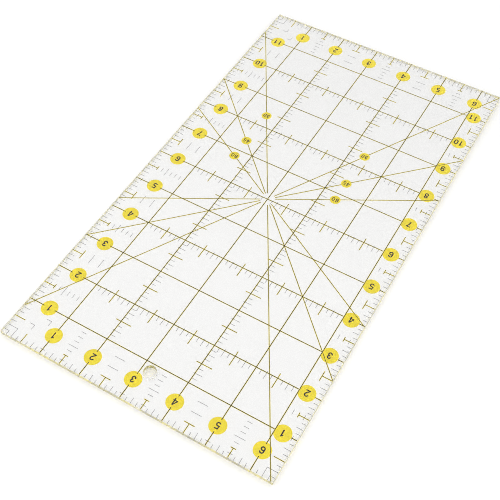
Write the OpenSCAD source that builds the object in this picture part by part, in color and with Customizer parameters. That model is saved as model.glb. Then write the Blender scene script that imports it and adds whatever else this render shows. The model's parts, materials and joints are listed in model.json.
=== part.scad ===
// Quilting ruler: a clear acrylic sheet printed with an inch grid, angle lines and numbers.
// The print is on the underside. Black goes on first, against the sheet, and yellow goes over
// it, so the yellow shows as a band on both sides of each black core.
// X runs across the ruler, Y along it and Z up. The origin is the middle of the underside.
// The zero corner has the lowest X and Y. The numbers stand upright for a reader on the +Y side.

/* [Sheet] */
// Whole inches marked across the ruler; the sheet is half an inch wider
inches_across = 6; // [6:2:12]
// Whole inches marked along the ruler, which is the sheet's length
inches_along = 12; // [8:4:24]
// Thickness of the acrylic sheet, in mm
sheet_t = 3; // [2:0.5:6]
// Diameter of the hanging hole, in mm
hole_d = 7; // [4:0.5:8]
// Inches from the zero end to the centre of the hanging hole
hole_in = 0.79; // [0.78:0.01:0.82]

/* [Ink] */
// Thickness of one printed film of ink, in mm
film_t = 0.04; // [0.02:0.01:0.1]
// Bare strip between the print and the cut edges, in mm
bare_edge = 0.1; // [0.05:0.05:0.4]

/* [Lines] */
// Width of the yellow band of an inch line, in mm
line_band = 0.6; // [0.5:0.05:0.8]
// Width of the black core of an inch line, in mm
line_core = 0.42; // [0.16:0.02:0.42]
// Width of the yellow band of an angle line or a half-inch mark, in mm
fine_band = 0.55; // [0.4:0.05:0.6]
// Width of the black core of an angle line or a half-inch mark, in mm
fine_core = 0.3; // [0.1:0.02:0.34]
// Width of the plain black ticks and dashes, in mm
tick_w = 0.15; // [0.08:0.01:0.22]

/* [Marks] */
// Length of the ticks at the odd eighths of an inch, in mm
eighth_len = 2.9; // [2:0.1:3.1]
// Length of the ticks at the quarters of an inch, in mm
quarter_len = 4.2; // [3.2:0.1:6]
// How far a quarter tick runs past the far side of a grid line, in mm
quarter_past = 0.9; // [0.4:0.1:2]
// Length of the short dashes and of the small T-bars, in mm
short_dash = 3; // [2:0.1:3]
// Length of the long dashes and of the large T-bars, in mm
long_dash = 6.2; // [4:0.1:6.3]

/* [Numbers] */
// Diameter of the yellow disc behind a number of the inch grid, in mm
disc_d = 9.5; // [8.4:0.1:9.9]
// Height of a number of the inch grid, in mm
number_h = 4.1; // [3:0.1:4.4]
// Diameter of the yellow disc behind the number of an angle, in mm
label_d = 6.4; // [5.4:0.1:6.9]
// Height of the number of an angle, in mm
label_h = 2.8; // [2:0.1:3]

/* [Hidden] */
$fn = 64;
inch = 25.4;
sheet_w = (inches_across + 0.5) * inch;
sheet_l = inches_along * inch;
// The two films of ink are under the sheet, so its underside is this high.
sheet_z = 2 * film_t;
// The hole is a little off the middle line of the sheet.
hole_x = -0.75;
hole_y = y_at(hole_in);
// Limits of the print
left_x = -sheet_w / 2 + bare_edge;
right_x = sheet_w / 2 - bare_edge;
near_y = -sheet_l / 2 + bare_edge;
far_y = sheet_l / 2 - bare_edge;
// The number discs of the right side touch the last long line, so they sit just past it.
right_disc_in = inches_across + 0.17;
last_line_x = x_at(inches_across);
// A black core stops this far from the middle of a disc that it runs into.
core_stop_r = disc_d / 2 - 1.2;
// The angle lines leave a point on the middle long line, halfway along the ruler.
fan_x = x_at(inches_across / 2);
fan_y = 0;
fan_gap = 4.6;
angles = [30, 45, 60];
// The angles are labelled on the lines that rise this many inches to each side of the fan.
label_in = 1.375;
reach = sheet_w + sheet_l;
stem_len = inch / 4;
// Half-inch marks on the grid run a quarter inch back and an eighth inch on.
mark_back = inch / 4;
mark_on = inch / 8;
// Space between the middles of two digits, as a part of their height
number_space = 0.76;
label_space = 0.84;
// Proportions of a digit that is one unit high
digit_r = 0.31;
digit_stroke = 0.17;
// Radius that the angle lines keep clear around a number, as a part of number_h
one_digit_room = 0.62;
two_digit_room = 0.88;

// ---- Places and plain strips ----

// X of a point so many inches from the zero corner
function x_at(u) = (u - (inches_across + 0.5) / 2) * inch;

// Y of a point so many inches from the zero end
function y_at(v) = (v - inches_along / 2) * inch;

// True at a half inch that follows an odd inch, where the margin has its fine ladder
function fine_ladder(n) = floor(n) % 2 == 1;

// Strip of ink that runs along X, centred on y
module across_strip(y, x0, x1, w) {
    translate([x0, y - w / 2])
        square([x1 - x0, w]);
}

// Strip of ink that runs along Y, centred on x
module along_strip(x, y0, y1, w) {
    translate([x - w / 2, y0])
        square([w, y1 - y0]);
}

// ---- The two films ----

module yellow_film() {
    color("gold")
        difference() {
            linear_extrude(sheet_z)
                children(0);
            translate([0, 0, film_t])
                linear_extrude(sheet_z)
                    children(1);
        }
}

module black_film() {
    color([0.08, 0.07, 0.06])
        translate([0, 0, film_t])
            linear_extrude(film_t)
                children();
}

// ---- Digits, each one unit high and centred on the origin ----

// Ring of the digit's stroke
module bowl(y, r) {
    translate([0, y])
        difference() {
            circle(r);
            circle(r - digit_stroke);
        }
}

module digit_0() {
    reach_y = 0.5 - digit_r;
    hole_r = digit_r - digit_stroke;
    difference() {
        union() {
            for (side = [-1, 1])
                translate([0, side * reach_y])
                    circle(digit_r);
            square([2 * digit_r, 2 * reach_y], center = true);
        }
        for (side = [-1, 1])
            translate([0, side * reach_y])
                circle(hole_r);
        square([2 * hole_r, 2 * reach_y], center = true);
    }
}

module digit_1() {
    polygon([
        [0.14, -0.5], [0.14, 0.5], [0.01, 0.5], [-0.06, 0.39],
        [-0.21, 0.33], [-0.21, 0.2], [-0.04, 0.2], [-0.04, -0.5],
    ]);
}

module digit_2() {
    difference() {
        bowl(0.5 - digit_r, digit_r);
        polygon([[-0.4, 0.21], [0, 0.19], [0.3, -0.05], [0.3, -0.2], [-0.4, -0.2]]);
    }
    polygon([
        [0.24, -0.005], [0.2, 0.12], [0.11, 0.102], [-0.31, -0.35],
        [-0.31, -0.5], [0.31, -0.5], [0.31, -0.35], [-0.07, -0.35],
    ]);
}

module digit_3() {
    difference() {
        union() {
            bowl(0.225, 0.275);
            bowl(-0.195, 0.305);
        }
        translate([-0.4, -0.16])
            square([0.35, 0.35]);
    }
}

module digit_4() {
    difference() {
        polygon([
            [0.22, -0.5], [0.22, -0.28], [0.33, -0.28], [0.33, -0.13], [0.22, -0.13], [0.22, 0.5],
            [0.03, 0.5], [-0.33, -0.12], [-0.33, -0.28], [0.05, -0.28], [0.05, -0.5],
        ]);
        polygon([[0.05, -0.13], [0.05, 0.24], [-0.17, -0.13]]);
    }
}

module digit_5() {
    difference() {
        bowl(-0.19, 0.31);
        translate([-0.4, -0.28])
            square([0.32, 0.24]);
    }
    polygon([
        [0.27, 0.5], [0.27, 0.34], [-0.09, 0.34], [-0.125, 0.06],
        [-0.06, -0.04], [-0.29, -0.04], [-0.22, 0.5],
    ]);
}

module digit_6() {
    bowl(digit_r - 0.5, digit_r);
    difference() {
        digit_0();
        translate([0, -0.3])
            square([0.4, 0.5]);
        translate([-0.1, -0.6])
            square([0.5, 0.6]);
    }
}

module digit_7() {
    polygon([
        [-0.3, 0.5], [0.3, 0.5], [0.3, 0.36], [0.07, 0.0],
        [-0.02, -0.5], [-0.21, -0.5], [-0.11, -0.05], [0.11, 0.34], [-0.3, 0.34],
    ]);
}

module digit_8() {
    bowl(0.235, 0.265);
    bowl(-0.19, 0.31);
}

module digit_9() {
    rotate(180)
        digit_6();
}

module digit(n) {
    if (n == 0) digit_0();
    if (n == 1) digit_1();
    if (n == 2) digit_2();
    if (n == 3) digit_3();
    if (n == 4) digit_4();
    if (n == 5) digit_5();
    if (n == 6) digit_6();
    if (n == 7) digit_7();
    if (n == 8) digit_8();
    if (n == 9) digit_9();
}

// A number of one or two digits, upright for a reader on the +Y side
module number(n, height, space) {
    rotate(180)
        scale(height)
            if (n < 10) {
                digit(n);
            } else {
                translate([-space / 2, 0])
                    digit(floor(n / 10));
                translate([space / 2, 0])
                    digit(n % 10);
            }
}

// ---- Where the numbers stand ----

module at_zero_end(n) {
    translate([x_at(n), y_at(0.5)])
        children();
}

module at_far_end(n) {
    translate([x_at(n), y_at(inches_along - 0.5)])
        children();
}

module at_left(n) {
    translate([x_at(0.5), y_at(n)])
        children();
}

module at_right(n) {
    translate([x_at(right_disc_in), y_at(n)])
        children();
}

// On the labelled line of an angle, to the left or the right of the fan
module at_label(angle, side) {
    translate([fan_x + side * label_in * inch, fan_y + label_in * inch / tan(angle)])
        children();
}

// The same circle around every number of the two ends and the left side
module line_number_circles(r) {
    for (n = [1 : inches_across]) {
        at_zero_end(n)
            circle(r);
        at_far_end(n)
            circle(r);
    }
    for (n = [1 : inches_along - 1])
        at_left(n)
            circle(r);
}

module right_number_circles(r) {
    for (n = [1 : inches_along - 1])
        at_right(n)
            circle(r);
}

module label_circles(r) {
    for (angle = angles, side = [-1, 1])
        at_label(angle, side)
            circle(r);
}

// ---- Outlines of the lines, before anything is taken from them ----

module length_strips(w) {
    for (n = [1 : inches_across])
        along_strip(x_at(n), near_y, far_y, w);
}

// The cross lines, broken where the long lines pass
module cross_strips(w) {
    for (n = [1 : inches_along - 1]) {
        across_strip(y_at(n), left_x, x_at(1) - w / 2, w);
        for (u = [1 : inches_across - 1])
            across_strip(y_at(n), x_at(u) + w / 2, x_at(u + 1) - w / 2, w);
        across_strip(y_at(n), x_at(inches_across) + w / 2, right_x, w);
    }
}

// The four lines that leave the fan at one angle to the ruler's length
module angle_strips(angle, w) {
    intersection() {
        translate([fan_x, fan_y])
            for (turn = [angle, -angle, 180 - angle, 180 + angle])
                rotate(turn)
                    translate([-w / 2, fan_gap])
                        square([w, reach]);
        translate([left_x, near_y])
            square([right_x - left_x, far_y - near_y]);
    }
}

module fan_strips(w) {
    for (angle = angles)
        angle_strips(angle, w);
}

// ---- Black cores of the lines ----

module length_cores() {
    difference() {
        length_strips(line_core);
        line_number_circles(core_stop_r);
    }
}

module cross_cores() {
    difference() {
        cross_strips(line_core);
        line_number_circles(core_stop_r);
        right_number_circles(disc_d / 2);
    }
}

module angle_cores(angle) {
    difference() {
        angle_strips(angle, fine_core);
        length_strips(line_core);
        cross_strips(line_core);
        label_circles(label_d / 2);
        number_room();
    }
}

// Radius of the room that a number keeps free of the angle lines. Two digits need more of it.
function room_r(n) = number_h * (n < 10 ? one_digit_room : two_digit_room);

module number_room() {
    for (n = [1 : inches_across]) {
        at_zero_end(n)
            circle(room_r(n));
        at_far_end(n)
            circle(room_r(n));
    }
    for (n = [1 : inches_along - 1]) {
        at_left(n)
            circle(room_r(n));
        at_right(n)
            circle(room_r(n));
    }
}

module fan_cores() {
    for (angle = angles)
        angle_cores(angle);
}

// ---- Half-inch marks at the edges ----

// A stem, with a T-bar where the half inch isn't next to a corner
module stem_and_bar(length, bar, w) {
    along_strip(0, 0, length + (bar > 0 ? -w / 2 : 0), w);
    if (bar > 0)
        across_strip(length, -bar / 2, bar / 2, w);
}

// Length of the T-bar at the half inch after inch n of an edge that is count inches long
function bar_len(n, count) = n == 0 || n >= count - 1 ? 0 : (n % 2 == 1 ? short_dash : long_dash);

module edge_marks(w) {
    for (n = [0 : inches_across - 1]) {
        bar = n == 0 ? 0 : bar_len(n, inches_across + 1);
        translate([x_at(n + 0.5), near_y])
            stem_and_bar(stem_len - bare_edge, bar, w);
        translate([x_at(n + 0.5), far_y])
            mirror([0, 1])
                stem_and_bar(stem_len - bare_edge, bar, w);
    }
    for (n = [0 : inches_along - 1]) {
        bar = bar_len(n, inches_along);
        translate([left_x, y_at(n + 0.5)])
            rotate(-90)
                stem_and_bar(stem_len - bare_edge, bar, w);
        translate([right_x, y_at(n + 0.5)])
            rotate(90)
                stem_and_bar(stem_len - bare_edge, bar, w);
    }
}

// ---- Half-inch marks on the grid ----

// On the even cross lines, broken where the cross line passes
module cross_grid_marks(w, gap) {
    for (v = [2 : 2 : inches_along - 2], u = [1 : inches_across - 1]) {
        along_strip(x_at(u + 0.5), y_at(v) - mark_back, y_at(v) - gap / 2, w);
        along_strip(x_at(u + 0.5), y_at(v) + gap / 2, y_at(v) + mark_on, w);
    }
}

// On the even long lines, except the last one, broken where the long line passes
module length_grid_marks(w, gap) {
    for (u = [2 : 2 : inches_across - 2], v = [1 : inches_along - 2]) {
        across_strip(y_at(v + 0.5), x_at(u) - mark_on, x_at(u) - gap / 2, w);
        across_strip(y_at(v + 0.5), x_at(u) + gap / 2, x_at(u) + mark_back, w);
    }
}

module grid_mark_cores() {
    difference() {
        union() {
            cross_grid_marks(fine_core, line_core);
            length_grid_marks(fine_core, line_core);
        }
        fan_strips(fine_band);
    }
}

// ---- Plain black ticks ----

// Length of the tick at eighth number k of an inch; inches and halves have marks of their own
function tick_len(k) = k % 4 == 0 ? 0 : (k % 2 == 0 ? quarter_len : eighth_len);

// Ticks along an edge that starts at the origin and runs along +X; corner squares take the
// first two eighths of an inch at each end.
module edge_tick_row(eighths) {
    for (k = [3 : eighths - 3])
        if (tick_len(k) > 0)
            along_strip(k * inch / 8, bare_edge, tick_len(k), tick_w);
}

module end_tick_row() {
    translate([-sheet_w / 2, -sheet_l / 2])
        edge_tick_row((inches_across + 0.5) * 8);
}

module side_tick_row() {
    translate([-sheet_w / 2, sheet_l / 2])
        rotate(-90)
            edge_tick_row(inches_along * 8);
}

// Ticks on the -X side of a cross line's inch, from the line's core towards the zero end
module cross_line_ticks() {
    for (v = [2 : 2 : inches_along - 2], k = [9 : inches_across * 8 - 1])
        if (tick_len(k) > 0) {
            y = y_at(v);
            along_strip(x_at(k / 8), y - tick_len(k), y - line_core / 2, tick_w);
            if (k % 2 == 0)
                along_strip(x_at(k / 8), y + line_core / 2, y + quarter_past, tick_w);
        }
}

module length_line_ticks() {
    for (u = [2 : 2 : inches_across - 2], k = [9 : (inches_along - 1) * 8 - 1])
        if (tick_len(k) > 0) {
            x = x_at(u);
            across_strip(y_at(k / 8), x + line_core / 2, x + tick_len(k), tick_w);
            if (k % 2 == 0)
                across_strip(y_at(k / 8), x - quarter_past, x - line_core / 2, tick_w);
        }
}

// ---- Dashes in the margins, at even distances from an edge ----

// Length of the dash that stands k eighths of an inch in, on the ladder of the half inch n
function dash_len(n, k) = fine_ladder(n) && k != 4 ? short_dash : long_dash;

// The ladder of a half inch, for an edge that runs along +X through the origin. Only the
// dashes nearer the edge than depth are drawn.
module ladder(n, depth) {
    steps = fine_ladder(n) ? [1, 3, 4, 5, 6, 7] : [4, 6];
    for (k = steps)
        if (k * inch / 8 < depth)
            across_strip(k * inch / 8, -dash_len(n, k) / 2, dash_len(n, k) / 2, tick_w);
}

// The dash that crosses each odd inch line an eighth of an inch from the edge
module odd_inch_dash() {
    across_strip(inch / 8, -short_dash / 2, short_dash / 2, tick_w);
}

module end_dashes() {
    for (n = [1 : inches_across - 1])
        translate([x_at(n + 0.5), -sheet_l / 2])
            ladder(n, inch);
    for (n = [1 : 2 : inches_across - 1])
        translate([x_at(n), -sheet_l / 2])
            odd_inch_dash();
}

module both_end_dashes() {
    end_dashes();
    mirror([0, 1])
        end_dashes();
}

module both_side_dashes() {
    for (side = [-1, 1]) {
        for (n = [1 : inches_along - 2])
            translate([side * sheet_w / 2, y_at(n + 0.5)])
                rotate(side * 90)
                    ladder(n, side < 0 ? inch : inch / 2);
        for (n = [1 : 2 : inches_along - 1])
            translate([side * sheet_w / 2, y_at(n)])
                rotate(side * 90)
                    odd_inch_dash();
    }
}

// ---- Corner marks ----

// Two strokes that meet at a point so far in from the corner at the origin
module corner_angle(from_edge, length) {
    along_strip(from_edge, from_edge - length, from_edge + tick_w / 2, tick_w);
    across_strip(from_edge, from_edge - length, from_edge - tick_w / 2, tick_w);
}

module at_corners(x_sides) {
    for (x_side = x_sides, y_side = [0, 1])
        mirror([0, y_side])
            mirror([x_side, 0])
                translate([-sheet_w / 2, -sheet_l / 2])
                    children();
}

// ---- The pieces ----

module acrylic_sheet() {
    color([0.86, 0.93, 0.92, 0.4])
        difference() {
            translate([-sheet_w / 2, -sheet_l / 2, sheet_z])
                cube([sheet_w, sheet_l, sheet_t]);
            translate([hole_x, hole_y, sheet_z - 1])
                cylinder(h = sheet_t + 2, d = hole_d);
        }
}

module length_lines_yellow() {
    yellow_film() {
        difference() {
            length_strips(line_band);
            line_number_circles(disc_d / 2);
        }
        union() {
            length_cores();
            cross_cores();
            fan_cores();
            length_line_ticks();
            grid_mark_cores();
            both_end_dashes();
        }
    }
}

module length_lines_black() {
    black_film()
        length_cores();
}

module cross_lines_yellow() {
    yellow_film() {
        difference() {
            cross_strips(line_band);
            line_number_circles(disc_d / 2);
            right_number_circles(disc_d / 2);
        }
        union() {
            cross_cores();
            fan_cores();
            cross_line_ticks();
            grid_mark_cores();
            both_side_dashes();
        }
    }
}

module cross_lines_black() {
    black_film()
        cross_cores();
}

module angle_lines_yellow(angle) {
    yellow_film() {
        difference() {
            angle_strips(angle, fine_band);
            length_strips(line_band);
            cross_strips(line_band);
            line_number_circles(disc_d / 2);
            right_number_circles(disc_d / 2);
            label_circles(label_d / 2);
        }
        angle_strips(angle, fine_core);
    }
}

module angle_lines_black(angle) {
    black_film()
        angle_cores(angle);
}

module number_discs_zero_end() {
    yellow_film() {
        for (n = [1 : inches_across])
            at_zero_end(n)
                circle(d = disc_d);
        union() {
            zero_end_numbers();
            length_cores();
            fan_cores();
        }
    }
}

module number_discs_far_end() {
    yellow_film() {
        for (n = [1 : inches_across])
            at_far_end(n)
                circle(d = disc_d);
        union() {
            far_end_numbers();
            length_cores();
            fan_cores();
        }
    }
}

module number_discs_left() {
    yellow_film() {
        for (n = [1 : inches_along - 1])
            at_left(n)
                circle(d = disc_d);
        union() {
            left_numbers();
            cross_cores();
            fan_cores();
        }
    }
}

module number_discs_right() {
    yellow_film() {
        difference() {
            right_number_circles(disc_d / 2);
            along_strip(last_line_x - disc_d / 2, near_y, far_y, disc_d + line_band);
        }
        union() {
            right_numbers();
            fan_cores();
        }
    }
}

module angle_label_discs() {
    yellow_film() {
        label_circles(label_d / 2);
        label_numbers();
    }
}

module zero_end_numbers() {
    for (n = [1 : inches_across])
        at_zero_end(n)
            number(n, number_h, number_space);
}

module far_end_numbers() {
    for (n = [1 : inches_across])
        at_far_end(n)
            number(n, number_h, number_space);
}

module left_numbers() {
    for (n = [1 : inches_along - 1])
        at_left(n)
            number(n, number_h, number_space);
}

module right_numbers() {
    for (n = [1 : inches_along - 1])
        at_right(n)
            number(n, number_h, number_space);
}

module label_numbers() {
    for (angle = angles, side = [-1, 1])
        at_label(angle, side)
            number(angle, label_h, label_space);
}

module half_inch_edge_marks_yellow() {
    yellow_film() {
        difference() {
            edge_marks(fine_band);
            fan_strips(fine_band);
        }
        union() {
            edge_marks(fine_core);
            both_end_dashes();
            both_side_dashes();
        }
    }
}

module half_inch_edge_marks_black() {
    black_film()
        difference() {
            edge_marks(fine_core);
            fan_strips(fine_band);
        }
}

module half_inch_grid_marks_yellow() {
    yellow_film() {
        difference() {
            union() {
                cross_grid_marks(fine_band, line_band);
                length_grid_marks(fine_band, line_band);
            }
            fan_strips(fine_band);
        }
        grid_mark_cores();
    }
}

module half_inch_grid_marks_black() {
    black_film()
        grid_mark_cores();
}

// Ticks and dashes stop at the yellow band of an angle line.
module clear_of_fan() {
    black_film()
        difference() {
            children();
            fan_strips(fine_band);
        }
}

module edge_ticks_zero_end() {
    clear_of_fan()
        end_tick_row();
}

module edge_ticks_far_end() {
    clear_of_fan()
        mirror([0, 1])
            end_tick_row();
}

module edge_ticks_left() {
    clear_of_fan()
        side_tick_row();
}

module edge_ticks_right() {
    clear_of_fan()
        mirror([1, 0])
            side_tick_row();
}

module ticks_on_length_lines() {
    clear_of_fan()
        length_line_ticks();
}

module ticks_on_cross_lines() {
    clear_of_fan()
        cross_line_ticks();
}

module margin_dashes_ends() {
    black_film()
        difference() {
            both_end_dashes();
            length_strips(line_core);
            edge_marks(fine_core);
            fan_strips(fine_band);
        }
}

module margin_dashes_sides() {
    black_film()
        difference() {
            both_side_dashes();
            cross_strips(line_core);
            edge_marks(fine_core);
            fan_strips(fine_band);
        }
}

module corner_squares() {
    clear_of_fan()
        at_corners([0, 1])
            for (k = [1, 2])
                corner_angle(k * inch / 8, k * inch / 8 - bare_edge);
}

module corner_steps() {
    clear_of_fan()
        at_corners([0])
            for (k = [4, 6])
                corner_angle(k * inch / 8, short_dash);
}

acrylic_sheet();
length_lines_yellow();
length_lines_black();
cross_lines_yellow();
cross_lines_black();
angle_lines_yellow(30);  // angle_30_lines_yellow
angle_lines_black(30);  // angle_30_lines_black
angle_lines_yellow(45);  // angle_45_lines_yellow
angle_lines_black(45);  // angle_45_lines_black
angle_lines_yellow(60);  // angle_60_lines_yellow
angle_lines_black(60);  // angle_60_lines_black
number_discs_zero_end();
number_discs_far_end();
number_discs_left();
number_discs_right();
angle_label_discs();
black_film() zero_end_numbers();  // numbers_zero_end
black_film() far_end_numbers();  // numbers_far_end
black_film() left_numbers();  // numbers_left
black_film() right_numbers();  // numbers_right
black_film() label_numbers();  // angle_label_numbers
half_inch_edge_marks_yellow();
half_inch_edge_marks_black();
half_inch_grid_marks_yellow();
half_inch_grid_marks_black();
edge_ticks_zero_end();
edge_ticks_far_end();
edge_ticks_left();
edge_ticks_right();
ticks_on_length_lines();
ticks_on_cross_lines();
margin_dashes_ends();
margin_dashes_sides();
corner_squares();
corner_steps();
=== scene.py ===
"""A clear acrylic quilting ruler, printed on its underside with an inch grid and angle lines.

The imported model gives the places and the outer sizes. This script builds the clear sheet with
its eased edges and drilled hole, the number discs and the numbers, and dresses the printed lines.
"""

import json
import logging
import math
from dataclasses import dataclass, field
from enum import Enum
from typing import Callable

import bmesh
import bpy
from mathutils import Matrix, Vector


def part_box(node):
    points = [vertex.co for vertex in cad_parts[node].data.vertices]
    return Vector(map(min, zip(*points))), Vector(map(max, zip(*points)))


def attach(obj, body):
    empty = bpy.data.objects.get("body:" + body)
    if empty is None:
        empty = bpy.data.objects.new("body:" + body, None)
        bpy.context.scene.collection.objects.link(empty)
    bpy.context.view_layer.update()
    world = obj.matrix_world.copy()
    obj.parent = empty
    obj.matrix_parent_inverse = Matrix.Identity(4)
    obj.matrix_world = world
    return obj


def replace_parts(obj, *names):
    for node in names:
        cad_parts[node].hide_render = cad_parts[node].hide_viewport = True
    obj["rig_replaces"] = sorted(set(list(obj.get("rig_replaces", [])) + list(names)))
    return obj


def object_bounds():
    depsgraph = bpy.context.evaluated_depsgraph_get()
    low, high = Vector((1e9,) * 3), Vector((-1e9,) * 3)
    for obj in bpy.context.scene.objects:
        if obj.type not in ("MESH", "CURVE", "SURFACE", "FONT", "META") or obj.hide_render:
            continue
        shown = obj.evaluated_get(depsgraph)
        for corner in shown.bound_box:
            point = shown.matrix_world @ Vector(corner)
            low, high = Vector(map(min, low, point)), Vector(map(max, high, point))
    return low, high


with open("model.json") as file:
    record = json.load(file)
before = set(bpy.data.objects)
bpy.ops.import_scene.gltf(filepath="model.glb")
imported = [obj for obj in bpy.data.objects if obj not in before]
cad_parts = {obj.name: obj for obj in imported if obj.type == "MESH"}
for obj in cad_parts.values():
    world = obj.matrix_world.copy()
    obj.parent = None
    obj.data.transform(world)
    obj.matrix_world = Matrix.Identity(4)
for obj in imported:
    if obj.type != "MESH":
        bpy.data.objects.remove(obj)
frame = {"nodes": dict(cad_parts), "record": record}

CAD_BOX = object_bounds()
BODY = "root"
MM = 0.001
INCH = 25.4 * MM
# Noise seldom leaves this span, so a colour or a roughness runs its whole range across it.
NOISE_SPAN = (0.3, 0.7)
log = logging.getLogger("quilting_ruler")

Point = tuple[float, float]


class Slot(Enum):
    """The three stuffs that the ruler is made of, by the name of their slot in the record."""

    ACRYLIC = "clear_acrylic"
    YELLOW = "yellow_ink"
    BLACK = "black_ink"


class Surface(Enum):
    """The sheet's surfaces, by the place of their finish in the sheet's list."""

    FACE = 0
    EDGE = 1
    HOLE = 2


# ---- Finishes ----


@dataclass(frozen=True)
class Wiring:
    """Lays shader nodes in one material's tree."""

    tree: bpy.types.NodeTree

    def add(self, kind: str, **settings: object) -> bpy.types.Node:
        """Adds a node.

        Args:
            kind: the node's type name.
            settings: the node's properties, by name.

        Returns:
            The new node.
        """
        node = self.tree.nodes.new(kind)
        for name, value in settings.items():
            setattr(node, name, value)
        return node

    def join(self, source: bpy.types.NodeSocket, target: bpy.types.NodeSocket) -> None:
        """Links a source socket to a target socket."""
        self.tree.links.new(source, target)

    def noise(self, scale: float, detail: float, stretch: Vector) -> bpy.types.NodeSocket:
        """Adds a noise pattern that lies in the object's own space.

        Args:
            scale: cells per metre.
            detail: octaves of finer noise.
            stretch: how much the pattern is packed along each axis.

        Returns:
            The socket that gives the noise, from 0 to 1.
        """
        place = self.add("ShaderNodeTexCoord")
        mapping = self.add("ShaderNodeMapping")
        mapping.inputs["Scale"].default_value = stretch
        pattern = self.add("ShaderNodeTexNoise")
        pattern.inputs["Scale"].default_value = scale
        pattern.inputs["Detail"].default_value = detail
        self.join(place.outputs["Object"], mapping.inputs["Vector"])
        self.join(mapping.outputs["Vector"], pattern.inputs["Vector"])
        return pattern.outputs["Fac"]

    def spread(
        self, source: bpy.types.NodeSocket, low: float, high: float
    ) -> bpy.types.NodeSocket:
        """Turns a noise of 0 to 1 into values from low to high, and returns their socket."""
        span = self.add("ShaderNodeMapRange")
        span.inputs["From Min"].default_value = NOISE_SPAN[0]
        span.inputs["From Max"].default_value = NOISE_SPAN[1]
        span.inputs["To Min"].default_value = low
        span.inputs["To Max"].default_value = high
        self.join(source, span.inputs["Value"])
        return span.outputs["Result"]

    def blend(
        self,
        source: bpy.types.NodeSocket,
        first: tuple,
        second: tuple,
        ends: tuple[float, float] = NOISE_SPAN,
    ) -> bpy.types.NodeSocket:
        """Mixes two colours by a value of 0 to 1.

        Args:
            source: the value's socket.
            first: the colour at the low end.
            second: the colour at the high end.
            ends: the values at which the colours are pure.

        Returns:
            The mixed colour's socket.
        """
        ramp = self.add("ShaderNodeValToRGB")
        ramp.color_ramp.elements[0].position = ends[0]
        ramp.color_ramp.elements[0].color = (*first, 1.0)
        ramp.color_ramp.elements[1].position = ends[1]
        ramp.color_ramp.elements[1].color = (*second, 1.0)
        self.join(source, ramp.inputs["Fac"])
        return ramp.outputs["Color"]

    def relief(
        self, source: bpy.types.NodeSocket, depth: float, shader: bpy.types.Node
    ) -> None:
        """Lets a noise raise and lower the surface of a shader by a depth in metres."""
        bump = self.add("ShaderNodeBump")
        bump.inputs["Strength"].default_value = 1.0
        bump.inputs["Distance"].default_value = depth
        self.join(source, bump.inputs["Height"])
        self.join(bump.outputs["Normal"], shader.inputs["Normal"])


def new_material(name: str) -> tuple[bpy.types.Material, Wiring, bpy.types.Node]:
    """Makes a material with one main shader.

    Args:
        name: the material's name.

    Returns:
        The material, its wiring and its main shader.
    """
    material = bpy.data.materials.new(name)
    material.use_nodes = True
    tree = material.node_tree
    tree.nodes.clear()
    wiring = Wiring(tree)
    shader = wiring.add("ShaderNodeBsdfPrincipled")
    output = wiring.add("ShaderNodeOutputMaterial")
    wiring.join(shader.outputs["BSDF"], output.inputs["Surface"])
    return material, wiring, shader


@dataclass(frozen=True)
class ClearAcrylic:
    """Clear acrylic, as the flat faces, the cut edges or the drilled hole of the sheet.

    A worked surface is a little milky: it scatters that share of the light.
    """

    name: str
    tint: tuple[float, float, float]
    roughness: tuple[float, float]
    mark_scale: float
    mark_stretch: tuple[float, float, float]
    relief: float
    milk: float = 0.0
    bend: float = 1.49
    mark_detail: float = 4.0

    def make(self) -> bpy.types.Material:
        """Makes the material: see-through, with faint marks that dull it and a slight relief."""
        material, wiring, shader = new_material(self.name)
        shader.inputs["Base Color"].default_value = (*self.tint, 1.0)
        shader.inputs["Transmission Weight"].default_value = 1.0 - self.milk
        shader.inputs["IOR"].default_value = self.bend
        marks = wiring.noise(self.mark_scale, self.mark_detail, Vector(self.mark_stretch))
        wiring.join(wiring.spread(marks, *self.roughness), shader.inputs["Roughness"])
        wiring.relief(marks, self.relief, shader)
        return material


@dataclass(frozen=True)
class ScreenInk:
    """Opaque screen-printed ink, a little uneven in strength, with the weave of the screen.

    The ink is bonded to the acrylic, which bends light as much, so it has little gloss.
    """

    name: str
    thin: tuple[float, float, float]
    full: tuple[float, float, float]
    roughness: tuple[float, float] = (0.38, 0.55)
    gloss: float = 0.1
    patch_scale: float = 420.0
    patch_detail: float = 3.0
    weave_scale: float = 9000.0
    weave_detail: float = 1.0
    weave_depth: float = 0.004 * MM

    def make(self) -> bpy.types.Material:
        """Makes the material: mottled colour, uneven gloss and a fine grain."""
        material, wiring, shader = new_material(self.name)
        patches = wiring.noise(self.patch_scale, self.patch_detail, Vector((1, 1, 1)))
        weave = wiring.noise(self.weave_scale, self.weave_detail, Vector((1, 1, 1)))
        colour = wiring.blend(patches, self.thin, self.full)
        wiring.join(colour, shader.inputs["Base Color"])
        shader.inputs["Specular IOR Level"].default_value = self.gloss
        wiring.join(wiring.spread(patches, *self.roughness), shader.inputs["Roughness"])
        wiring.relief(weave, self.weave_depth, shader)
        return material


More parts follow.
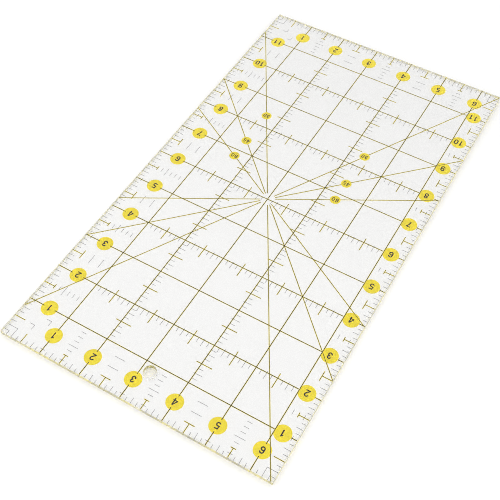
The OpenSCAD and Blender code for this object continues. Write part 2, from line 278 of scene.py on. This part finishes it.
FACE_FINISH = ClearAcrylic(
    name="clear_acrylic_face",
    tint=(0.913, 0.912, 0.908),
    roughness=(0.0, 0.03),
    mark_scale=35.0,
    mark_stretch=(1.0, 0.35, 1.0),
    relief=0.003 * MM,
)
EDGE_FINISH = ClearAcrylic(
    name="clear_acrylic_cut_edge",
    tint=(0.87, 0.88, 0.88),
    roughness=(0.3, 0.5),
    mark_scale=1600.0,
    mark_stretch=(1.0, 1.0, 0.12),
    relief=0.002 * MM,
    milk=0.2,
)
HOLE_FINISH = ClearAcrylic(
    name="clear_acrylic_drilled",
    tint=(0.9, 0.91, 0.91),
    roughness=(0.05, 0.2),
    mark_scale=1600.0,
    mark_stretch=(1.0, 1.0, 0.12),
    relief=0.006 * MM,
    milk=0.14,
)
YELLOW_FINISH = ScreenInk("yellow_ink", (0.97, 0.80, 0.02), (0.985, 0.86, 0.032))
BLACK_FINISH = ScreenInk("black_ink", (0.016, 0.013, 0.010), (0.009, 0.008, 0.006))


# ---- Mesh making ----


def add_piece(mesh: bpy.types.Mesh, name: str, slot: Slot, *nodes: str) -> bpy.types.Object:
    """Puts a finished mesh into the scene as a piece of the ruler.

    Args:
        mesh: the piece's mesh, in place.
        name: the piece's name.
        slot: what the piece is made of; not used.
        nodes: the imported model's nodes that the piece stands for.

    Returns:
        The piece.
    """
    piece = bpy.data.objects.new(name, mesh)
    bpy.context.scene.collection.objects.link(piece)
    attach(piece, BODY)
    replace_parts(piece, *nodes)
    return piece


def round_points(centre: Point, radius: float, steps: int) -> list[Point]:
    """Points of a circle, anticlockwise, as many as steps."""
    turns = (2 * math.pi * k / steps for k in range(steps))
    return [
        (centre[0] + radius * math.cos(a), centre[1] + radius * math.sin(a)) for a in turns
    ]


def close_ring(work: bmesh.types.BMesh, low: list, high: list) -> list[bmesh.types.BMFace]:
    """Joins two closed loops of the same length with a band of four-sided faces.

    Args:
        work: the mesh under construction.
        low: the first loop's vertices.
        high: the second loop's vertices.

    Returns:
        The band's faces.
    """
    count = len(low)
    return [
        work.faces.new((low[k], low[(k + 1) % count], high[(k + 1) % count], high[k]))
        for k in range(count)
    ]


@dataclass
class ClearSheet:
    """The clear sheet, with eased edges and a hanging hole.

    Its underside is a little lower than the tops of the inks, which are bonded to it.
    """

    node: str = "acrylic_sheet"
    ease: float = 0.15 * MM
    ease_steps: int = 3
    corner_r: float = 0.35 * MM
    corner_steps: int = 6
    hole_steps: int = 96
    bond: float = 0.05 * MM

    def outline(self, inset: float) -> list[Point]:
        """The sheet's outline, moved inwards by inset, with small round corners."""
        low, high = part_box(self.node)
        mid = (low + high) / 2
        half = (high - low) / 2
        radius = self.corner_r
        points = []
        for quarter in range(4):
            sign_x = 1 if quarter in (0, 3) else -1
            sign_y = 1 if quarter in (0, 1) else -1
            corner = Vector((
                mid.x + sign_x * (half.x - radius),
                mid.y + sign_y * (half.y - radius),
            ))
            for k in range(self.corner_steps + 1):
                a = math.pi / 2 * (quarter + k / self.corner_steps)
                reach = radius - inset
                points.append((corner.x + reach * math.cos(a), corner.y + reach * math.sin(a)))
        return points

    def hole(self, growth: float) -> list[Point]:
        """The hanging hole's outline, made wider by growth on each side."""
        mount = next(m for m in frame["record"]["mounts"] if m["name"] == "hanging_hole")
        x, y = mount["pos_m"][:2]
        return round_points((x, y), mount["dims"]["r_mm"] * MM + growth, self.hole_steps)

    def levels(self) -> list[tuple[float, float]]:
        """The edge's profile from the underside up: how far in from the cut, and how high."""
        low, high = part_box(self.node)
        bottom = low.z - self.bond
        arc = [math.pi / 2 * k / self.ease_steps for k in range(self.ease_steps + 1)]
        lower = [
            (self.ease * (1 - math.sin(a)), bottom + self.ease * (1 - math.cos(a))) for a in arc
        ]
        upper = [(inset, high.z - (z - bottom)) for inset, z in reversed(lower)]
        return lower + upper

    def wall(
        self, work: bmesh.types.BMesh, outline: Callable[[float], list[Point]], outward: bool
    ) -> tuple[list, list]:
        """Builds the cut wall round the sheet or in the hole.

        Args:
            work: the mesh under construction.
            outline: gives the points of the wall for how far in from the cut they are.
            outward: True for the sheet's outside, False for the hole.

        Returns:
            The vertices of the wall's lowest loop and of its highest loop.
        """
        loops = [
            [work.verts.new((x, y, z)) for x, y in outline(inset)] for inset, z in self.levels()
        ]
        surface = Surface.EDGE if outward else Surface.HOLE
        creases = (0, self.ease_steps, self.ease_steps + 1)
        last = len(loops) - 2
        for level, (low, high) in enumerate(zip(loops, loops[1:])):
            for face in close_ring(work, low, high):
                face.material_index = surface.value
                face.smooth = True
                if not outward:
                    face.normal_flip()
            for loop, sharp in ((low, level in creases), (high, level == last)):
                if sharp:
                    for a, b in zip(loop, loop[1:] + loop[:1]):
                        work.edges.get((a, b)).smooth = False
        return loops[0], loops[-1]

    def build(self) -> bpy.types.Object:
        """Builds and dresses the sheet, and returns the piece."""
        work = bmesh.new()
        outer = self.wall(work, self.outline, outward=True)
        inner = self.wall(work, self.hole, outward=False)
        for side, normal in ((0, Vector((0, 0, -1))), (1, Vector((0, 0, 1)))):
            edges = []
            for loop in (outer[side], inner[side]):
                edges += [work.edges.get((a, b)) for a, b in zip(loop, loop[1:] + loop[:1])]
            made = bmesh.ops.triangle_fill(work, edges=edges, normal=normal, use_beauty=True)
            for face in made["geom"]:
                if isinstance(face, bmesh.types.BMFace):
                    face.material_index = Surface.FACE.value
                    face.smooth = False
                    face.normal_update()
                    if face.normal.dot(normal) < 0:
                        face.normal_flip()
        mesh = bpy.data.meshes.new("clear_sheet")
        work.to_mesh(mesh)
        work.free()
        mesh.materials.append(FACE_FINISH.make())
        mesh.materials.append(EDGE_FINISH.make())
        mesh.materials.append(HOLE_FINISH.make())
        return add_piece(mesh, "clear_sheet", Slot.ACRYLIC, self.node)


@dataclass
class InkShape:
    """A flat shape one unit high, cut and joined from plain outlines to make a digit."""

    outline: list[Point]
    thickness: float = 1.0
    crumb: float = 0.00001
    parts: list[tuple[str, list[Point]]] = field(default_factory=list)

    def join(self, outline: list[Point]) -> "InkShape":
        """Adds an outline to the shape, and returns the shape."""
        self.parts.append(("UNION", outline))
        return self

    def cut(self, outline: list[Point]) -> "InkShape":
        """Takes an outline away from the shape, and returns the shape."""
        self.parts.append(("DIFFERENCE", outline))
        return self

    def slab(self, outline: list[Point], half: float) -> bpy.types.Object:
        """A temporary object: the outline raised to half above and below zero."""
        work = bmesh.new()
        low = [work.verts.new((x, y, -half)) for x, y in outline]
        high = [work.verts.new((x, y, half)) for x, y in outline]
        close_ring(work, low, high)
        work.faces.new(low)
        work.faces.new(high)
        bmesh.ops.recalc_face_normals(work, faces=work.faces)
        mesh = bpy.data.meshes.new("slab")
        work.to_mesh(mesh)
        work.free()
        slab = bpy.data.objects.new("slab", mesh)
        bpy.context.scene.collection.objects.link(slab)
        return slab

    def build(self) -> bpy.types.Mesh:
        """Joins and cuts the outlines in order, and returns the mesh."""
        half = self.thickness / 2
        base = self.slab(self.outline, half)
        tools = []
        for operation, outline in self.parts:
            tool = self.slab(outline, half if operation == "UNION" else 2 * half)
            modifier = base.modifiers.new(operation, "BOOLEAN")
            modifier.operation = operation
            modifier.solver = "EXACT"
            modifier.object = tool
            tools.append(tool)
        bpy.context.view_layer.update()
        shown = base.evaluated_get(bpy.context.evaluated_depsgraph_get())
        mesh = bpy.data.meshes.new_from_object(shown)
        for thing in [base, *tools]:
            bpy.data.objects.remove(thing)
        work = bmesh.new()
        work.from_mesh(mesh)
        bmesh.ops.remove_doubles(work, verts=work.verts, dist=self.crumb)
        bmesh.ops.dissolve_degenerate(work, edges=work.edges, dist=self.crumb)
        work.to_mesh(mesh)
        work.free()
        return mesh


@dataclass
class DigitSet:
    """The ten digits of the ruler's plain upright numerals."""

    bowl_r: float = 0.31
    stroke: float = 0.17
    steps: int = 72
    meshes: dict[int, bpy.types.Mesh] = field(default_factory=dict)

    def disc(self, y: float, radius: float) -> list[Point]:
        """A circle on the digit's middle line, y above its centre."""
        return round_points((0.0, y), radius, self.steps)

    def bar(self, left: float, low: float, width: float, height: float) -> list[Point]:
        """A rectangle by its lower left corner and its size."""
        right, top = left + width, low + height
        return [(left, low), (right, low), (right, top), (left, top)]

    def oval(self, radius: float) -> list[Point]:
        """An upright outline with straight sides and round ends, as tall as a nought."""
        rise = 0.5 - self.bowl_r
        half = self.steps // 2
        top = [math.pi * k / half for k in range(half + 1)]
        upper = [(radius * math.cos(a), rise + radius * math.sin(a)) for a in top]
        return upper + [(-x, -y) for x, y in upper]

    def nought(self) -> InkShape:
        """The digit 0: an oval ring."""
        return InkShape(self.oval(self.bowl_r)).cut(self.oval(self.bowl_r - self.stroke))

    def one(self) -> InkShape:
        """The digit 1: a stem with a flag."""
        return InkShape([
            (0.14, -0.5), (0.14, 0.5), (0.01, 0.5), (-0.06, 0.39),
            (-0.21, 0.33), (-0.21, 0.2), (-0.04, 0.2), (-0.04, -0.5),
        ])

    def two(self) -> InkShape:
        """The digit 2: an open bowl that runs down to a foot."""
        rise = 0.5 - self.bowl_r
        return (
            InkShape(self.disc(rise, self.bowl_r))
            .cut(self.disc(rise, self.bowl_r - self.stroke))
            .cut([(-0.4, 0.21), (0, 0.19), (0.3, -0.05), (0.3, -0.2), (-0.4, -0.2)])
            .join([
                (0.24, -0.005), (0.2, 0.12), (0.11, 0.102), (-0.31, -0.35),
                (-0.31, -0.5), (0.31, -0.5), (0.31, -0.35), (-0.07, -0.35),
            ])
        )

    def three(self) -> InkShape:
        """The digit 3: two bowls, open on the left."""
        return (
            InkShape(self.disc(0.225, 0.275))
            .join(self.disc(-0.195, 0.305))
            .cut(self.disc(0.225, 0.275 - self.stroke))
            .cut(self.disc(-0.195, 0.305 - self.stroke))
            .cut(self.bar(-0.4, -0.16, 0.35, 0.35))
        )

    def four(self) -> InkShape:
        """The digit 4: a stem, a crossbar and a slope."""
        return InkShape([
            (0.22, -0.5), (0.22, -0.28), (0.33, -0.28), (0.33, -0.13), (0.22, -0.13), (0.22, 0.5),
            (0.03, 0.5), (-0.33, -0.12), (-0.33, -0.28), (0.05, -0.28), (0.05, -0.5),
        ]).cut([(0.05, -0.13), (0.05, 0.24), (-0.17, -0.13)])

    def five(self) -> InkShape:
        """The digit 5: an open bowl under a flag."""
        return (
            InkShape(self.disc(-0.19, self.bowl_r))
            .cut(self.disc(-0.19, self.bowl_r - self.stroke))
            .cut(self.bar(-0.4, -0.28, 0.32, 0.24))
            .join([
                (0.27, 0.5), (0.27, 0.34), (-0.09, 0.34), (-0.125, 0.06),
                (-0.06, -0.04), (-0.29, -0.04), (-0.22, 0.5),
            ])
        )

    def six(self) -> InkShape:
        """The digit 6: a bowl with a stem that curls over it."""
        rise = 0.5 - self.bowl_r
        return (
            self.nought()
            .cut(self.bar(0.0, -0.3, 0.4, 0.5))
            .cut(self.bar(-0.1, -0.6, 0.5, 0.6))
            .join(self.disc(-rise, self.bowl_r))
            .cut(self.disc(-rise, self.bowl_r - self.stroke))
        )

    def seven(self) -> InkShape:
        """The digit 7: a bar with a bent stem."""
        return InkShape([
            (-0.3, 0.5), (0.3, 0.5), (0.3, 0.36), (0.07, 0.0),
            (-0.02, -0.5), (-0.21, -0.5), (-0.11, -0.05), (0.11, 0.34), (-0.3, 0.34),
        ])

    def eight(self) -> InkShape:
        """The digit 8: a small bowl on a larger one."""
        return (
            InkShape(self.disc(0.235, 0.265))
            .join(self.disc(-0.19, self.bowl_r))
            .cut(self.disc(0.235, 0.265 - self.stroke))
            .cut(self.disc(-0.19, self.bowl_r - self.stroke))
        )

    def build(self) -> "DigitSet":
        """Builds every digit once, and returns the set."""
        makers = [
            self.nought, self.one, self.two, self.three, self.four,
            self.five, self.six, self.seven, self.eight,
        ]
        for value, maker in enumerate(makers):
            self.meshes[value] = maker().build()
        nine = self.meshes[6].copy()
        nine.transform(Matrix.Rotation(math.pi, 4, "Z"))
        self.meshes[9] = nine
        return self


@dataclass(frozen=True)
class InchGrid:
    """Places on the ruler, in inches from its zero corner."""

    node: str = "acrylic_sheet"
    slack: float = 0.01

    def at(self, across: float, along: float) -> Point:
        """The place that many inches across and along the ruler."""
        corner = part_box(self.node)[0]
        return corner.x + across * INCH, corner.y + along * INCH

    def counts(self) -> tuple[int, int]:
        """The whole inches that are marked across and along the ruler."""
        low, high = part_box(self.node)
        return int((high.x - low.x) / INCH + self.slack), round((high.y - low.y) / INCH)


@dataclass(frozen=True)
class Numeral:
    """One number, and the place of its middle."""

    value: int
    place: Point


@dataclass
class NumberRow:
    """A row of yellow discs with a black number on each."""

    name: str
    disc_node: str
    number_node: str
    numerals: list[Numeral]
    disc_d: float
    height: float
    spacing: float
    disc_top: float = 0.07 * MM
    number_low: float = 0.04 * MM
    number_top: float = 0.08 * MM
    rim: float = 0.03 * MM
    steps: int = 96

    def disc_points(self, place: Point, radius: float) -> list[Point]:
        """A disc's outline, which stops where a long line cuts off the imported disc's -X side."""
        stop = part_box(self.disc_node)[0].x
        return [(max(x, stop), y) for x, y in round_points(place, radius, self.steps)]

    def discs(self, finish: bpy.types.Material) -> bpy.types.Object:
        """Builds the row's discs, with a rim that rounds off as wet ink does, as one piece."""
        work = bmesh.new()
        for numeral in self.numerals:
            radius = self.disc_d / 2
            levels = [
                (radius, 0.0),
                (radius, self.disc_top - self.rim),
                (radius - self.rim, self.disc_top),
            ]
            loops = [
                [work.verts.new((x, y, z)) for x, y in self.disc_points(numeral.place, r)]
                for r, z in levels
            ]
            for low, high in zip(loops, loops[1:]):
                for face in close_ring(work, low, high):
                    face.smooth = True
            for loop, turned in ((loops[0], True), (loops[-1], False)):
                face = work.faces.new(loop[::-1] if turned else loop)
                face.smooth = False
                for edge in face.edges:
                    edge.smooth = False
        mesh = bpy.data.meshes.new(self.name + "_disc_print")
        work.to_mesh(mesh)
        work.free()
        mesh.materials.append(finish)
        return add_piece(mesh, self.name + "_disc_print", Slot.YELLOW, self.disc_node)

    def numbers(self, digits: DigitSet, finish: bpy.types.Material) -> bpy.types.Object:
        """Builds the row's numbers, upright for a reader on the far side, as one piece.

        Args:
            digits: the digits to set the numbers in.
            finish: the ink's material.

        Returns:
            The piece.
        """
        work = bmesh.new()
        thickness = self.number_top - self.number_low
        size = Matrix.Diagonal((self.height, self.height, thickness, 1))
        turn = Matrix.Rotation(math.pi, 4, "Z")
        for numeral in self.numerals:
            figures = [int(c) for c in str(numeral.value)]
            for k, figure in enumerate(figures):
                shift = (k - (len(figures) - 1) / 2) * self.spacing
                x, y = numeral.place
                place = Matrix.Translation((x, y, self.number_low + thickness / 2))
                copy = digits.meshes[figure].copy()
                copy.transform(place @ turn @ size @ Matrix.Translation((shift, 0, 0)))
                work.from_mesh(copy)
                bpy.data.meshes.remove(copy)
        mesh = bpy.data.meshes.new(self.name + "_number_print")
        work.to_mesh(mesh)
        work.free()
        mesh.materials.append(finish)
        return add_piece(mesh, self.name + "_number_print", Slot.BLACK, self.number_node)


@dataclass
class NumberPrint:
    """All the discs and numbers of the ruler."""

    grid: InchGrid
    disc_d: float = 9.5 * MM
    height: float = 4.1 * MM
    spacing: float = 0.76
    label_d: float = 6.4 * MM
    label_height: float = 2.8 * MM
    label_spacing: float = 0.84
    edge_in: float = 0.5
    right_in: float = 0.17
    label_in: float = 1.375
    angles: tuple[int, ...] = (30, 45, 60)

    def row(self, name: str, places: Callable[[int], Point], count: int) -> NumberRow:
        """A row of the inch numbers from 1 to count."""
        return NumberRow(
            name=name,
            disc_node="number_discs_" + name,
            number_node="numbers_" + name,
            numerals=[Numeral(n, places(n)) for n in range(1, count + 1)],
            disc_d=self.disc_d,
            height=self.height,
            spacing=self.spacing,
        )

    def labels(self) -> NumberRow:
        """The numbers of the angles, on the lines that they name."""
        across, along = self.grid.counts()
        numerals = []
        for angle in self.angles:
            rise = self.label_in / math.tan(math.radians(angle))
            for side in (-1, 1):
                place = self.grid.at(across / 2 + side * self.label_in, along / 2 + rise)
                numerals.append(Numeral(angle, place))
        return NumberRow(
            name="angle_label",
            disc_node="angle_label_discs",
            number_node="angle_label_numbers",
            numerals=numerals,
            disc_d=self.label_d,
            height=self.label_height,
            spacing=self.label_spacing,
        )

    def rows(self) -> list[NumberRow]:
        """Every row of numbers on the ruler."""
        across, along = self.grid.counts()
        at = self.grid.at
        return [
            self.row("zero_end", lambda n: at(n, self.edge_in), across),
            self.row("far_end", lambda n: at(n, along - self.edge_in), across),
            self.row("left", lambda n: at(self.edge_in, n), along - 1),
            self.row("right", lambda n: at(across + self.right_in, n), along - 1),
            self.labels(),
        ]

    def build(
        self, yellow: bpy.types.Material, black: bpy.types.Material
    ) -> list[bpy.types.Object]:
        """Builds every disc and number.

        Args:
            yellow: the material of the discs.
            black: the material of the numbers.

        Returns:
            The pieces.
        """
        digits = DigitSet().build()
        pieces = []
        for row in self.rows():
            pieces += [row.discs(yellow), row.numbers(digits, black)]
        return pieces


@dataclass
class PrintedLines:
    """The lines, ticks, dashes and marks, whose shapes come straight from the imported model."""

    stood_for: set[str]

    def dress(self, yellow: bpy.types.Material, black: bpy.types.Material) -> list[str]:
        """Gives each printed family its ink.

        Args:
            yellow: the material of the yellow film.
            black: the material of the black film.

        Returns:
            The names of the nodes that were dressed.
        """
        dressed = []
        for name, piece in sorted(frame["nodes"].items()):
            if name in self.stood_for:
                continue
            ink = yellow if name.endswith("_yellow") else black
            for holder in piece.material_slots:
                holder.material = ink
            dressed.append(name)
        return dressed


# ---- Studio ----


@dataclass
class Studio:
    """The pale floor, whose colour is darkened towards the far end as painted shade, the soft
    light and the camera.
    """

    floor_size: float = 12.0
    floor_squares: int = 4
    floor_drop: float = 0.02 * MM
    # The floor's colour goes from the near colour to a darker far colour along Y: painted shade
    # for light that falls off towards the far end.
    near_floor: tuple[float, float, float] = (0.85, 0.85, 0.85)
    far_floor: tuple[float, float, float] = (0.785, 0.785, 0.785)
    fade_y: tuple[float, float] = (-0.05, 0.152)
    sky: float = 1.313
    camera_place: tuple[float, float, float] = (0.149165, -0.297096, 0.399020)
    aim: tuple[float, float, float] = (0.003742, -0.038092, 0.0015)
    roll_deg: float = 1.0906
    lens: float = 62.815
    sensor: float = 36.0
    clip: tuple[float, float] = (0.01, 50.0)
    bounces: int = 160
    dull_bounces: int = 8
    filter_width: float = 1.0

    def floor(self) -> bpy.types.Object:
        """Lays the floor, whose colour darkens a little towards the far end as painted shade, and
        returns it.

        The floor is seen from above only, so that the ruler's underside can be looked at.
        """
        work = bmesh.new()
        squares, half = self.floor_squares, self.floor_size / 2
        bmesh.ops.create_grid(work, x_segments=squares, y_segments=squares, size=half)
        mesh = bpy.data.meshes.new("floor")
        work.to_mesh(mesh)
        work.free()
        material, wiring, shader = new_material("pale_floor_painted_shade")
        place = wiring.add("ShaderNodeTexCoord")
        split = wiring.add("ShaderNodeSeparateXYZ")
        # Painted shade: the floor's colour darkens along Y towards the far end.
        painted_shade_range = wiring.add("ShaderNodeMapRange")
        painted_shade_range.inputs["From Min"].default_value = self.fade_y[0]
        painted_shade_range.inputs["From Max"].default_value = self.fade_y[1]
        wiring.join(place.outputs["Object"], split.inputs["Vector"])
        wiring.join(split.outputs["Y"], painted_shade_range.inputs["Value"])
        colour = wiring.blend(painted_shade_range.outputs["Result"], self.near_floor, self.far_floor, (0.0, 1.0))
        wiring.join(colour, shader.inputs["Base Color"])
        shader.inputs["Roughness"].default_value = 1.0
        shader.inputs["Specular IOR Level"].default_value = 0.0
        output = next(n for n in wiring.tree.nodes if n.type == "OUTPUT_MATERIAL")
        side = wiring.add("ShaderNodeNewGeometry")
        clear = wiring.add("ShaderNodeBsdfTransparent")
        choice = wiring.add("ShaderNodeMixShader")
        wiring.join(side.outputs["Backfacing"], choice.inputs["Fac"])
        wiring.join(shader.outputs["BSDF"], choice.inputs[1])
        wiring.join(clear.outputs["BSDF"], choice.inputs[2])
        wiring.join(choice.outputs["Shader"], output.inputs["Surface"])
        mesh.materials.append(material)
        floor = bpy.data.objects.new("floor", mesh)
        floor.location.z = CAD_BOX[0].z - self.floor_drop
        # Light from below reaches the ink's underside, which the floor would otherwise hide.
        floor.visible_diffuse = False
        floor.visible_shadow = False
        bpy.context.scene.collection.objects.link(floor)
        return floor

    def light(self) -> None:
        """Lights the scene from all round, softly."""
        world = bpy.data.worlds.new("soft_light")
        bpy.context.scene.world = world
        world.use_nodes = True
        back = world.node_tree.nodes["Background"]
        back.inputs["Color"].default_value = (1.0, 1.0, 1.0, 1.0)
        back.inputs["Strength"].default_value = self.sky

    def camera(self) -> bpy.types.Object:
        """Sets up the camera, and returns it."""
        data = bpy.data.cameras.new("camera")
        data.lens = self.lens
        data.sensor_width = self.sensor
        data.clip_start, data.clip_end = self.clip
        camera = bpy.data.objects.new("camera", data)
        place = Vector(self.camera_place)
        look = (Vector(self.aim) - place).to_track_quat("-Z", "Y").to_matrix().to_4x4()
        roll = Matrix.Rotation(math.radians(self.roll_deg), 4, "Z")
        camera.matrix_world = Matrix.Translation(place) @ look @ roll
        bpy.context.scene.collection.objects.link(camera)
        bpy.context.scene.camera = camera
        return camera

    def build(self) -> None:
        """Sets up the whole studio, and the way that light is followed through the sheet."""
        scene = bpy.context.scene
        scene.view_settings.view_transform = "Standard"
        # Light that enters a cut edge runs the whole length of the sheet, mirrored all the way.
        scene.cycles.max_bounces = self.bounces
        scene.cycles.transmission_bounces = self.bounces
        scene.cycles.glossy_bounces = self.bounces
        scene.cycles.diffuse_bounces = self.dull_bounces
        # Blurring would roughen the clear sheet for light that comes up from the floor.
        scene.cycles.blur_glossy = 0.0
        # Smoother noise removal or a wider filter would wipe away the finest ticks.
        scene.cycles.use_denoising = True
        scene.cycles.denoising_prefilter = "NONE"
        scene.cycles.filter_width = self.filter_width
        self.floor()
        self.light()
        self.camera()


def main() -> None:
    """Builds the ruler piece by piece, and reports each piece."""
    logging.basicConfig(level=logging.INFO, format="%(name)s: %(message)s")
    yellow, black = YELLOW_FINISH.make(), BLACK_FINISH.make()
    pieces = [ClearSheet().build(), *NumberPrint(InchGrid()).build(yellow, black)]
    stood_for = {node for piece in pieces for node in piece["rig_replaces"]}
    for piece in pieces:
        log.info("%s: %d faces", piece.name, len(piece.data.polygons))
    for name in PrintedLines(stood_for).dress(yellow, black):
        log.info("%s: dressed", name)
    Studio().build()


if __name__ == "__main__":
    main()
